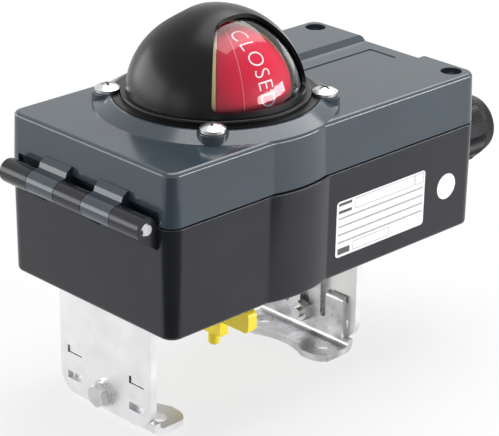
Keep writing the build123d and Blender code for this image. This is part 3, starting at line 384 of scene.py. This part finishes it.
# ruled label without words, on the near side of the base
labelPlan = {
    "left": 17.9, "right": 62.2, "low": 51.5, "high": 71.9, "corner": 1.3,
    "lift": 0.01, "thick": 0.10,
    "seamLevel": 83.0, "wallHalf": 40.2, "draft": 0.5, "printThick": 0.012, "line": 0.16,
    "bands": (0.29, 0.435, 0.58, 0.72), "bandHeight": 0.034,       # shares of the label's height, from its top
    "bandLeft": 0.02, "bandRight": 0.98,
    "frames": (
        (0.205, 0.030, 0.875, 0.215),
        (0.885, 0.030, 0.982, 0.215),
        (0.19, 0.80, 0.60, 0.955),
    ),
    "darkCells": (
        (0.022, 0.030, 0.165, 0.082),
        (0.022, 0.165, 0.165, 0.217),
        (0.022, 0.845, 0.155, 0.955),
    ),
}


# point on the near side wall: u along, v up, out of the wall
def sidePoint(u, v, out):
    plan = labelPlan
    wall = plan["wallHalf"] - (plan["seamLevel"] - v) * math.tan(math.radians(plan["draft"]))
    return Vector((u * mm, -(wall + out) * mm, v * mm))


def buildLabel(shape):
    plan = labelPlan
    width = plan["right"] - plan["left"]
    height = plan["high"] - plan["low"]
    middleU = (plan["right"] + plan["left"]) / 2
    middleV = (plan["high"] + plan["low"]) / 2
    outline = [(middleU + u, middleV + v) for u, v in roundedOutline(width, height, plan["corner"], 8)]
    raisePlate(shape, outline, lambda u, v, h: sidePoint(u, v, plan["lift"] + h), plan["thick"])


# rectangle printed on the label, in shares from its left and its top
def printCell(shape, left, top, right, bottom):
    plan = labelPlan
    width = plan["right"] - plan["left"]
    height = plan["high"] - plan["low"]
    x0 = plan["left"] + left * width
    x1 = plan["left"] + right * width
    z1 = plan["high"] - top * height
    z0 = plan["high"] - bottom * height
    outline = [(x0, z0), (x1, z0), (x1, z1), (x0, z1)]
    surface = plan["lift"] + plan["thick"]
    raisePlate(shape, outline, lambda u, v, h: sidePoint(u, v, surface + h), plan["printThick"])


def buildDarkPrint(shape):
    plan = labelPlan
    lineU = plan["line"] / (plan["right"] - plan["left"])
    lineV = plan["line"] / (plan["high"] - plan["low"])
    for cell in plan["darkCells"]:
        printCell(shape, *cell)
    for left, top, right, bottom in plan["frames"]:
        printCell(shape, left, top, right, top + lineV)
        printCell(shape, left, bottom - lineV, right, bottom)
        printCell(shape, left, top + lineV, left + lineU, bottom - lineV)
        printCell(shape, right - lineU, top + lineV, right, bottom - lineV)


def buildGreyPrint(shape):
    for top in labelPlan["bands"]:
        printCell(shape, labelPlan["bandLeft"], top, labelPlan["bandRight"], top + labelPlan["bandHeight"])


pieceFromMesh("label_plate", buildLabel, "paper", "base")
pieceFromMesh("label_rules", buildDarkPrint, "ink", "base")
pieceFromMesh("label_bands", buildGreyPrint, "greyInk", "base")

stickerPlan = {"x": 73.8, "z": 62.5, "radius": 4.75, "lift": 0.01, "thick": 0.10, "corners": 64}


def buildSticker(shape):
    plan = stickerPlan
    outline = [(plan["x"] + u, plan["z"] + v) for u, v in circleOutline(plan["radius"], plan["corners"])]
    raisePlate(shape, outline, lambda u, v, h: sidePoint(u, v, plan["lift"] + h), plan["thick"])


pieceFromMesh("round_sticker", buildSticker, "paper", "base")
print("label and sticker")

# lettering on the indicator
letterPlan = {
    "centreZ": 104.4, "radius": 25.43, "closedTop": 69.5, "closedEnd": 5.0,
    "openTop": 62.0, "openEnd": 18.0, "width": 6.3,
    "thin": -0.014, "space": 1.14, "longestEdge": 0.10, "cuts": 2,
}


# flat mesh of a word
def letterMesh(word):
    curve = bpy.data.curves.new("word" + word, "FONT")
    curve.body = word
    curve.size = 1.0
    curve.offset = letterPlan["thin"]
    curve.space_character = letterPlan["space"]
    curve.resolution_u = 6
    holder = bpy.data.objects.new("word" + word, curve)
    bpy.context.scene.collection.objects.link(holder)
    bpy.context.view_layer.update()
    graph = bpy.context.evaluated_depsgraph_get()
    mesh = bpy.data.meshes.new_from_object(holder.evaluated_get(graph))
    bpy.data.objects.remove(holder)
    return mesh


# word running down the dome along one meridian, tops of the letters to its right
def buildWord(shape, word, direction, topAngle, endAngle):
    plan = letterPlan
    shape.from_mesh(letterMesh(word))
    bmesh.ops.triangulate(shape, faces=shape.faces)
    for _ in range(plan["cuts"]):
        longEdges = [e for e in shape.edges if e.calc_length() > plan["longestEdge"]]
        bmesh.ops.subdivide_edges(shape, edges=longEdges, cuts=1, use_grid_fill=False)
        bmesh.ops.triangulate(shape, faces=shape.faces)
    lowU = min(v.co.x for v in shape.verts)
    highU = max(v.co.x for v in shape.verts)
    lowV = min(v.co.y for v in shape.verts)
    highV = max(v.co.y for v in shape.verts)
    away = Vector((math.cos(math.radians(direction)), math.sin(math.radians(direction)), 0))
    side = Vector((-away.y, away.x, 0))
    for vert in shape.verts:
        along = (vert.co.x - lowU) / (highU - lowU)
        across = ((vert.co.y - lowV) / (highV - lowV) - 0.5) * plan["width"] / plan["radius"]
        rise = math.radians(topAngle + (endAngle - topAngle) * along)
        way = away * math.cos(rise) + Vector((0, 0, math.sin(rise))) + side * across
        vert.co = (Vector((0, 0, plan["centreZ"])) + way.normalized() * plan["radius"]) * mm


for word, direction, topAngle, endAngle in (
    ("CLOSED", -90, letterPlan["closedTop"], letterPlan["closedEnd"]),
    ("CLOSED", 90, letterPlan["closedTop"], letterPlan["closedEnd"]),
    ("OPEN", 0, letterPlan["openTop"], letterPlan["openEnd"]),
    ("OPEN", 180, letterPlan["openTop"], letterPlan["openEnd"]),
):
    pieceName = "word_" + word.lower() + "_" + str(direction % 360)
    tint = "letter" if word == "CLOSED" else "ink"
    pieceFromMesh(pieceName, lambda shape: buildWord(shape, word, direction, topAngle, endAngle),
                  tint, "indicator")
print("lettering")

# mould line down each red quarter
seamPlan = {
    "directions": (-112.0, 68.0), "low": 3.0, "high": 74.0,
    "half": 0.12, "sink": 0.05, "rise": 0.02, "steps": 40,
}


def buildSeams(shape):
    plan = seamPlan
    inner = letterPlan["radius"] - plan["sink"]
    outer = letterPlan["radius"] + plan["rise"]
    centre = Vector((0, 0, letterPlan["centreZ"]))
    for direction in plan["directions"]:
        away = Vector((math.cos(math.radians(direction)), math.sin(math.radians(direction)), 0))
        side = Vector((-away.y, away.x, 0)) * plan["half"]
        rings = []
        for k in range(plan["steps"] + 1):
            rise = math.radians(plan["low"] + (plan["high"] - plan["low"]) * k / plan["steps"])
            way = away * math.cos(rise) + Vector((0, 0, math.sin(rise)))
            corners = (way * inner - side, way * inner + side, way * outer + side, way * outer - side)
            rings.append([shape.verts.new((centre + corner) * mm) for corner in corners])
        for first, second in zip(rings, rings[1:]):
            for k in range(4):
                shape.faces.new((first[k], first[(k + 1) % 4], second[(k + 1) % 4], second[k]))
        shape.faces.new(rings[0])
        shape.faces.new(rings[-1])


pieceFromMesh("rotor_mould_lines", buildSeams, "seamLine", "indicator")
print("mould lines")

# fine grip ribs between the flats of the gland's cap nut
ribPlan = {
    "radius": 12.2, "endRadius": 10.5, "straight": 11.4, "start": 0.9, "noseIn": 1.7,
    "rise": 0.30, "endRise": 0.12, "sink": 0.25,
    "firstZone": 105, "zoneStep": 60, "zoneHalf": 18, "step": 2,      # degrees
}
capLow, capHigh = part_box("gland_cap_nut")


def buildRibs(shape):
    plan = ribPlan
    middleY = (capLow[1] + capHigh[1]) / 2
    middleZ = (capLow[2] + capHigh[2]) / 2
    stations = ((capLow[0] + plan["start"] * mm, plan["radius"], plan["rise"]),
                (capLow[0] + plan["straight"] * mm, plan["radius"], plan["rise"]),
                (capHigh[0] - plan["noseIn"] * mm, plan["endRadius"], plan["endRise"]))
    count = plan["zoneHalf"] * 2 // plan["step"]
    for zone in range(plan["firstZone"], plan["firstZone"] + 360, plan["zoneStep"]):
        grid = []
        for x, radius, rise in stations:
            outer, inner = [], []
            for k in range(count + 1):
                angle = math.radians(zone - plan["zoneHalf"] + k * plan["step"])
                away = Vector((0, -math.sin(angle), math.cos(angle)))
                centre = Vector((x, middleY, middleZ))
                outer.append(shape.verts.new(centre + away * (radius + rise * (k % 2)) * mm))
                inner.append(shape.verts.new(centre + away * (radius - plan["sink"]) * mm))
            grid.append((outer, inner))
        for (outerA, innerA), (outerB, innerB) in zip(grid, grid[1:]):
            for k in range(count):
                shape.faces.new((outerA[k], outerA[k + 1], outerB[k + 1], outerB[k]))
                shape.faces.new((innerA[k], innerB[k], innerB[k + 1], innerA[k + 1]))
            for k in (0, count):
                shape.faces.new((outerA[k], outerB[k], innerB[k], innerA[k]))
        for outer, inner in (grid[0], grid[-1]):
            for k in range(count):
                shape.faces.new((outer[k], outer[k + 1], inner[k + 1], inner[k]))


pieceFromMesh("gland_grip_ribs", buildRibs, "ribPlastic", "gland_nut")
print("gland ribs")

# small parts on the circuit board, seen with the lid open
boardPlan = {
    "chips": ((37.0, -21.0, 5.0, 4.0, 1.5), (37.0, -11.0, 6.2, 5.0, 1.6)),     # x, y, width, depth, height
    "resistors": {
        "x": 46.5, "firstY": -26.0, "step": 3.6, "count": 8, "width": 2.0, "depth": 1.25, "height": 0.5,
        "corner": 0.15, "topLess": (0.5, 0.2), "topCorner": 0.1,
    },
    "capacitors": ((33.0, -2.0, 2.5, 6.0), (40.0, -2.0, 2.5, 6.0)),            # x, y, radius, height
    "capacitorEdge": 0.3, "capacitorCorners": 32,
    "lamps": ((33.0, 6.0), (39.0, 6.0)), "lampRadius": 1.5, "lampHeight": 3.2, "lampCorners": 24,
    "lampRings": ((1, 0), (1, 0.6), (0.8, 0.85), (0.4, 1)),           # shares of the radius and the height
    "leadCount": 4, "leadStep": 1.27, "leadOut": 0.9, "leadWidth": 0.4, "leadHeight": 0.5, "leadCorner": 0.1,
    "edge": 0.25, "topEdge": 0.2,
}
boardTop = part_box("circuit_board")[1][2] / mm
blockLow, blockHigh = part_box("terminal_block")
screwsLow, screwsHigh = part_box("terminal_screws")
numberPlan = {"ways": 6, "size": 2.2, "rise": 0.02, "in": 3.6}


# body with rounded corners and a stepped-in top edge, standing on the board
def buildBody(shape, x, y, outline, smaller, height):
    step = height - boardPlan["topEdge"]
    for part, low, high in ((outline, 0, step), (smaller, step, height)):
        raisePlate(shape, [(x + u, y + v) for u, v in part],
                   lambda u, v, h: Vector((u, v, boardTop + low + h)) * mm, high - low)


def buildChips(shape):
    edge = boardPlan["edge"]
    for x, y, width, depth, height in boardPlan["chips"]:
        buildBody(shape, x, y, roundedOutline(width, depth, edge, 3),
                  roundedOutline(width - edge, depth - edge, edge, 3), height)


def buildLeads(shape):
    plan = boardPlan
    for x, y, width, depth, height in plan["chips"]:
        for k in range(plan["leadCount"]):
            leadX = x + (k - (plan["leadCount"] - 1) / 2) * plan["leadStep"]
            outline = roundedOutline(plan["leadWidth"], depth + 2 * plan["leadOut"], plan["leadCorner"], 2)
            raisePlate(shape, [(leadX + u, y + v) for u, v in outline],
                       lambda u, v, h: Vector((u, v, boardTop + h)) * mm, plan["leadHeight"])


def buildResistors(shape):
    plan = boardPlan["resistors"]
    for k in range(plan["count"]):
        y = plan["firstY"] + k * plan["step"]
        lessWidth, lessDepth = plan["topLess"]
        buildBody(shape, plan["x"], y, roundedOutline(plan["width"], plan["depth"], plan["corner"], 2),
                  roundedOutline(plan["width"] - lessWidth, plan["depth"] - lessDepth, plan["topCorner"], 2),
                  plan["height"])


def buildCapacitors(shape):
    for x, y, radius, height in boardPlan["capacitors"]:
        count = boardPlan["capacitorCorners"]
        buildBody(shape, x, y, circleOutline(radius, count),
                  circleOutline(radius - boardPlan["capacitorEdge"], count), height)


def buildLamps(shape):
    plan = boardPlan
    count = plan["lampCorners"]
    for x, y in plan["lamps"]:
        rings = [[shape.verts.new(Vector((x + u, y + v, boardTop + plan["lampHeight"] * heightShare)) * mm)
                  for u, v in circleOutline(plan["lampRadius"] * radiusShare, count)]
                 for radiusShare, heightShare in plan["lampRings"]]
        for first, second in zip(rings, rings[1:]):
            for k in range(count):
                shape.faces.new((first[k], first[(k + 1) % count], second[(k + 1) % count], second[k]))
        shape.faces.new(rings[0])
        shape.faces.new(rings[-1])


# numbers on top of the terminal block, read from the gland's end
def buildNumbers(shape):
    plan = numberPlan
    middleY = (screwsLow[1] + screwsHigh[1]) / 2 / mm
    pitch = (blockHigh[1] - blockLow[1]) / mm / plan["ways"]
    for k in range(plan["ways"]):
        known = len(shape.verts)
        shape.from_mesh(letterMesh(str(k + 1)))
        shape.verts.ensure_lookup_table()
        digit = shape.verts[known:]
        middleU = (min(v.co.x for v in digit) + max(v.co.x for v in digit)) / 2
        way = middleY + (k - (plan["ways"] - 1) / 2) * pitch
        for vert in digit:
            vert.co = Vector((blockHigh[0] / mm - plan["in"] - vert.co.y * plan["size"],
                              way + (vert.co.x - middleU) * plan["size"], blockHigh[2] / mm + plan["rise"])) * mm


pieceFromMesh("terminal_numbers", buildNumbers, "ink", "base")
pieceFromMesh("board_chips", buildChips, "blackMatt", "base")
pieceFromMesh("board_chip_leads", buildLeads, "steel", "base")
pieceFromMesh("board_resistors", buildResistors, "blackMatt", "base")
pieceFromMesh("board_capacitors", buildCapacitors, "anodised", "base")
pieceFromMesh("board_lamps", buildLamps, "yellowPlastic", "base")
print("board parts")

# floor, lights and camera
floorPlan = {"half": 4.0, "level": -0.0002, "tone": (0.80, 0.80, 0.80), "toneAlt": (0.82, 0.82, 0.82),
             "seenShare": 0.75}


# 1 for camera, glossy and transmission rays, which see the white backdrop
def seenRays(tree):
    path = addNode(tree, "ShaderNodeLightPath")
    first = addNode(tree, "ShaderNodeMath", {"operation": "MAXIMUM"})
    both = addNode(tree, "ShaderNodeMath", {"operation": "MAXIMUM"})
    wire(tree, path, "Is Camera Ray", first, 0)
    wire(tree, path, "Is Glossy Ray", first, 1)
    wire(tree, first, "Value", both, 0)
    wire(tree, path, "Is Transmission Ray", both, 1)
    return both


def floorMaterial():
    material, tree = startMaterial("floor")
    output = addNode(tree, "ShaderNodeOutputMaterial")
    shader = addNode(tree, "ShaderNodeBsdfPrincipled", None, {"Roughness": 0.9, "Specular IOR Level": 0.1})
    cloud = noiseNode(tree, 3, 2)
    share = spread(tree, cloud, "Fac", 0.3, 0.7, 0, 1)
    tone = blendTone(tree, share, "Result", floorPlan["tone"], floorPlan["toneAlt"])
    wire(tree, tone, 2, shader, "Base Color")
    seen = addNode(tree, "ShaderNodeMath", {"operation": "MULTIPLY"}, {1: floorPlan["seenShare"]})
    glow = addNode(tree, "ShaderNodeEmission", None, {"Strength": 1.0})
    both = addNode(tree, "ShaderNodeMixShader")
    wire(tree, seenRays(tree), "Value", seen, 0)
    wire(tree, seen, "Value", both, 0)
    wire(tree, shader, "BSDF", both, 1)
    wire(tree, glow, "Emission", both, 2)
    wire(tree, both, "Shader", output, "Surface")
    return material


floorMesh = bpy.data.meshes.new("floor")
floorShape = bmesh.new()
half = floorPlan["half"]
floorShape.faces.new([floorShape.verts.new((x * half, y * half, floorPlan["level"]))
                      for x, y in ((-1, -1), (1, -1), (1, 1), (-1, 1))])
floorShape.to_mesh(floorMesh)
floorShape.free()
floorObject = bpy.data.objects.new("floor", floorMesh)
floorMesh.materials.append(floorMaterial())
bpy.context.scene.collection.objects.link(floorObject)

# dark card on the floor, shown only by reflections
cardPlans = {
    "darkCard": {"turn": -135, "near": 0.11, "far": 0.75, "half": 0.20, "level": 0.004, "glow": 0.0},
}
for cardName, plan in cardPlans.items():
    cardMaterial, cardTree = startMaterial(cardName)
    cardGlow = addNode(cardTree, "ShaderNodeEmission", None, {"Strength": plan["glow"]})
    wire(cardTree, cardGlow, "Emission", addNode(cardTree, "ShaderNodeOutputMaterial"), "Surface")
    cardTurn = math.radians(plan["turn"])
    cardWay = Vector((math.cos(cardTurn), math.sin(cardTurn), 0))
    cardSide = Vector((-cardWay.y, cardWay.x, 0)) * plan["half"]
    cardLevel = Vector((0, 0, plan["level"]))
    cardShape = bmesh.new()
    cardShape.faces.new([cardShape.verts.new(cardWay * plan[end] + cardSide * sign + cardLevel)
                         for end, sign in (("near", -1), ("far", -1), ("far", 1), ("near", 1))])
    cardMesh = bpy.data.meshes.new(cardName)
    cardShape.to_mesh(cardMesh)
    cardShape.free()
    cardMesh.materials.append(cardMaterial)
    card = bpy.data.objects.new(cardName, cardMesh)
    card.visible_camera = False
    card.visible_diffuse = False
    card.visible_shadow = False
    bpy.context.scene.collection.objects.link(card)

# soft boxes; glow is the brightness of a box's face
middle = Vector((0.012, 0.0, 0.10))
lampPlans = {
    "nearBand": {"turn": -54, "rise": 3, "far": 1.1, "size": (0.95, 0.20), "glow": 17.0},
    "topBox": {"turn": 17, "rise": 67, "far": 1.08, "size": (0.85, 1.4), "glow": 4.0},
    "backLeftBox": {"turn": 127, "rise": 7, "far": 1.1, "size": (1.4, 0.48), "glow": 4.2},
    "leftBox": {"turn": 178, "rise": 4, "far": 1.1, "size": (0.5, 0.36), "glow": 2.0},
    "rightBox": {"turn": 15, "rise": 3, "far": 1.1, "size": (0.5, 0.3), "glow": 2.0},
}
for lampName, plan in lampPlans.items():
    lamp = bpy.data.lights.new(lampName, "AREA")
    lamp.shape = "RECTANGLE"
    lamp.size, lamp.size_y = plan["size"]
    lamp.energy = plan["glow"] * math.pi * plan["size"][0] * plan["size"][1]
    lampTurn = math.radians(plan["turn"])
    lampRise = math.radians(plan["rise"])
    way = Vector((math.cos(lampTurn), math.sin(lampTurn), 0)) * math.cos(lampRise)
    way.z = math.sin(lampRise)
    holder = bpy.data.objects.new(lampName, lamp)
    holder.location = middle + way * plan["far"]
    holder.rotation_mode = "QUATERNION"
    holder.rotation_quaternion = (-way).to_track_quat("-Z", "Y")
    bpy.context.scene.collection.objects.link(holder)

worldPlan = {"room": 0.21, "tint": (0.90, 0.92, 1.0, 1), "backdrop": 1.0}
world = bpy.data.worlds.new("studio")
bpy.context.scene.world = world
world.use_nodes = True
skyTree = world.node_tree
skyTree.nodes.clear()
skyOut = addNode(skyTree, "ShaderNodeOutputWorld")
roomLight = addNode(skyTree, "ShaderNodeBackground", None,
                    {"Color": worldPlan["tint"], "Strength": worldPlan["room"]})
backLight = addNode(skyTree, "ShaderNodeBackground", None,
                    {"Color": (1, 1, 1, 1), "Strength": worldPlan["backdrop"]})
skyMix = addNode(skyTree, "ShaderNodeMixShader")
wire(skyTree, seenRays(skyTree), "Value", skyMix, 0)
wire(skyTree, roomLight, "Background", skyMix, 1)
wire(skyTree, backLight, "Background", skyMix, 2)
wire(skyTree, skyMix, "Shader", skyOut, "Surface")
print("lights", len(lampPlans))

cameraPlan = {
    "turn": -44.56, "tilt": 23.17, "roll": 0.805, "lens": 155.4, "sensor": 36.0,
    "offset": (-11.983, -13.373, 743.082), "baseLevel": 44.5, "clipStart": 0.01, "clipEnd": 20.0,
}
turn = math.radians(cameraPlan["turn"])
tilt = math.radians(cameraPlan["tilt"])
roll = math.radians(cameraPlan["roll"])
ahead = Vector((-math.sin(turn) * math.cos(tilt), math.cos(turn) * math.cos(tilt), -math.sin(tilt)))
rightWay = Vector((math.cos(turn), math.sin(turn), 0))
upWay = rightWay.cross(ahead)
imageRight = rightWay * math.cos(roll) + upWay * math.sin(roll)
imageUp = upWay * math.cos(roll) - rightWay * math.sin(roll)
offset = cameraPlan["offset"]
eye = -(imageRight * offset[0] + imageUp * offset[1] + ahead * offset[2])
eye = (eye + Vector((0, 0, cameraPlan["baseLevel"]))) * mm
cameraData = bpy.data.cameras.new("camera")
cameraData.sensor_width = cameraPlan["sensor"]
cameraData.lens = cameraPlan["lens"]
cameraData.clip_start = cameraPlan["clipStart"]
cameraData.clip_end = cameraPlan["clipEnd"]
camera = bpy.data.objects.new("camera", cameraData)
camera.matrix_world = Matrix((
    (imageRight.x, imageUp.x, -ahead.x, eye.x),
    (imageRight.y, imageUp.y, -ahead.y, eye.y),
    (imageRight.z, imageUp.z, -ahead.z, eye.z),
    (0, 0, 0, 1)))
bpy.context.scene.collection.objects.link(camera)
bpy.context.scene.camera = camera
bpy.context.scene.view_settings.view_transform = "Standard"
print("camera at", [round(value, 4) for value in eye])
